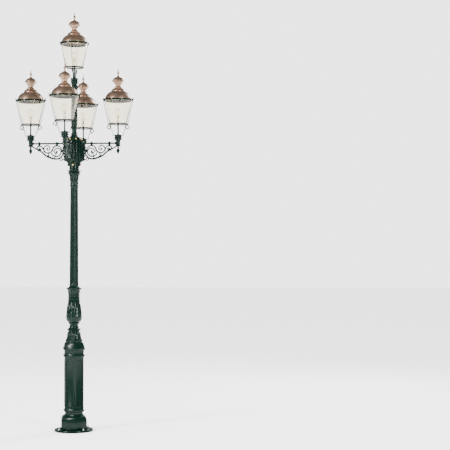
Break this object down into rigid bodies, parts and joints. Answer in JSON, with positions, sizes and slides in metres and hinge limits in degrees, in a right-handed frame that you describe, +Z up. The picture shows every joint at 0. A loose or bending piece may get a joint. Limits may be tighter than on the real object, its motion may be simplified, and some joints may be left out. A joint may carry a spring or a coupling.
{
  "type": "street lamp",
  "caption": "Ornamental street lamp: a panelled pedestal and fluted post carry scrolled arms with copper-hooded glass lanterns and one more on top.",
  "frame": {"origin": "middle of the foot flange's underside, on the ground", "axes": "+Z up the post, +X along the right arm, -Y along the front arm"},
  "size_m": [1.623, 1.599, 5.6473],
  "materials": {
    "green_paint": "deep bottle green gloss enamel on castings",
    "brushed_copper": "spun copper, brushed round and lacquered",
    "clear_glass": "clear, faintly cream",
    "opal_lamp": "clear to opal globe lamp",
    "white_enamel": "white enamelled tube and plate",
    "grey_plastic": "moulded terminal box",
    "brass": "turned brass"
  },
  "bodies": {
    "post": {"foot_flange": "green_paint", "pedestal": "green_paint", "terminal_box": "grey_plastic", "shoulder": "green_paint", "baluster": "green_paint", "shaft": "green_paint", "capital": "green_paint", "hub": "green_paint", "stem": "green_paint", "bracket_right": "green_paint", "arm_tube_right": "green_paint", "arm_socket_right": "green_paint", "bracket_back": "green_paint", "arm_tube_back": "green_paint", "arm_socket_back": "green_paint", "bracket_left": "green_paint", "arm_tube_left": "green_paint", "arm_socket_left": "green_paint", "bracket_front": "green_paint", "arm_tube_front": "green_paint", "arm_socket_front": "green_paint", "yoke_right": "green_paint", "lamp_holder_right": "white_enamel", "bulb_right": "opal_lamp", "glass_right": "clear_glass", "rim_right": "green_paint", "yoke_back": "green_paint", "lamp_holder_back": "white_enamel", "bulb_back": "opal_lamp", "glass_back": "clear_glass", "rim_back": "green_paint", "yoke_left": "green_paint", "lamp_holder_left": "white_enamel", "bulb_left": "opal_lamp", "glass_left": "clear_glass", "rim_left": "green_paint", "yoke_front": "green_paint", "lamp_holder_front": "white_enamel", "bulb_front": "opal_lamp", "glass_front": "clear_glass", "rim_front": "green_paint", "yoke_top": "green_paint", "lamp_holder_top": "white_enamel", "bulb_top": "opal_lamp", "glass_top": "clear_glass", "rim_top": "green_paint"},
    "service_door": {"service_door": "green_paint"},
    "door_lock": {"door_lock": "brass"},
    "hood_right": {"hood_right": "brushed_copper"},
    "hood_screw_right": {"hood_screw_right": "green_paint"},
    "hood_back": {"hood_back": "brushed_copper"},
    "hood_screw_back": {"hood_screw_back": "green_paint"},
    "hood_left": {"hood_left": "brushed_copper"},
    "hood_screw_left": {"hood_screw_left": "green_paint"},
    "hood_front": {"hood_front": "brushed_copper"},
    "hood_screw_front": {"hood_screw_front": "green_paint"},
    "hood_top": {"hood_top": "brushed_copper"},
    "hood_screw_top": {"hood_screw_top": "green_paint"}
  },
  "joints": [
    {"name": "door_hinge", "type": "hinge", "parent": "post", "child": "service_door", "pos_m": [0.07522, 0.11156, 0.6403], "axis": [0, 0, -1], "range_deg": [0, 110]},
    {"name": "door_lock_turn", "type": "hinge", "parent": "service_door", "child": "door_lock", "pos_m": [0.00342, 0.12946, 0.6403], "axis": [-0.2419, -0.9703, 0], "range_deg": [0, 90]},
    {"name": "hood_hinge_right", "type": "hinge", "parent": "post", "child": "hood_right", "pos_m": [0.8065, 0, 4.4715], "axis": [0, 1, 0], "range_deg": [0, 100]},
    {"name": "hood_screw_turn_right", "type": "hinge", "parent": "hood_right", "child": "hood_screw_right", "pos_m": [0.3985, 0, 4.4775], "axis": [0, 0, 1], "range_deg": [0, 90]},
    {"name": "hood_hinge_back", "type": "hinge", "parent": "post", "child": "hood_back", "pos_m": [0.2065, 0.6, 4.4715], "axis": [0, 1, 0], "range_deg": [0, 100]},
    {"name": "hood_screw_turn_back", "type": "hinge", "parent": "hood_back", "child": "hood_screw_back", "pos_m": [-0.2015, 0.6, 4.4775], "axis": [0, 0, 1], "range_deg": [0, 90]},
    {"name": "hood_hinge_left", "type": "hinge", "parent": "post", "child": "hood_left", "pos_m": [-0.8065, 0, 4.4715], "axis": [0, -1, 0], "range_deg": [0, 100]},
    {"name": "hood_screw_turn_left", "type": "hinge", "parent": "hood_left", "child": "hood_screw_left", "pos_m": [-0.3985, 0, 4.4775], "axis": [0, 0, 1], "range_deg": [0, 90]},
    {"name": "hood_hinge_front", "type": "hinge", "parent": "post", "child": "hood_front", "pos_m": [-0.2065, -0.6, 4.4715], "axis": [0, -1, 0], "range_deg": [0, 100]},
    {"name": "hood_screw_turn_front", "type": "hinge", "parent": "hood_front", "child": "hood_screw_front", "pos_m": [0.2015, -0.6, 4.4775], "axis": [0, 0, 1], "range_deg": [0, 90]},
    {"name": "hood_hinge_top", "type": "hinge", "parent": "post", "child": "hood_top", "pos_m": [0, 0.2065, 5.2408], "axis": [-1, 0, 0], "range_deg": [0, 100]},
    {"name": "hood_screw_turn_top", "type": "hinge", "parent": "hood_top", "child": "hood_screw_top", "pos_m": [0, -0.2015, 5.2468], "axis": [0, 0, 1], "range_deg": [0, 90]}
  ]
}
